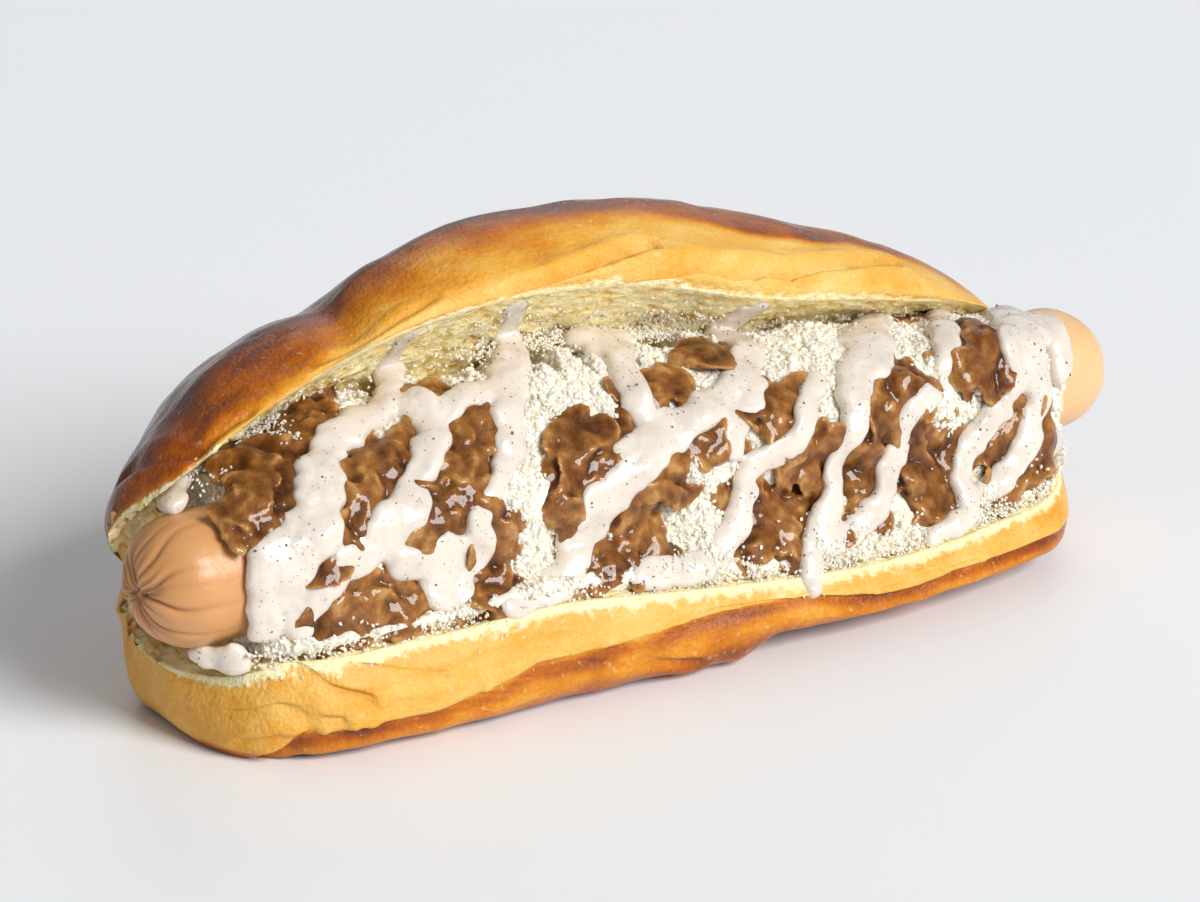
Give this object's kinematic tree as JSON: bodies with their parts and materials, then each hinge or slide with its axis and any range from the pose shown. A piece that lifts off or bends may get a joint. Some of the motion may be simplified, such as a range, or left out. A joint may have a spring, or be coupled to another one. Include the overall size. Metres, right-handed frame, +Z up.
{
  "type": "hot dog",
  "caption": "Hot dog in a soft roll opened on its long side, with a sausage, crumbled white cheese, caramelised onions and thick drizzled sauce.",
  "frame": {"origin": "middle of the base of the whole hot dog, on the surface it lies on", "axes": "+X along the roll, -Y out of its open mouth, +Z up"},
  "size_m": [0.2042, 0.0747, 0.0744],
  "materials": {
    "bread": "glossy brown crust, matt pale crumb",
    "sausage": "satin skin",
    "cheese": "matt crumbs",
    "onion_and_sauce": "wet glossy onion with off-white sauce"
  },
  "bodies": {
    "root": {"bun": "bread", "sausage": "sausage", "cheese_heap": "cheese", "onion_heap": "onion_and_sauce"}
  },
  "joints": []
}
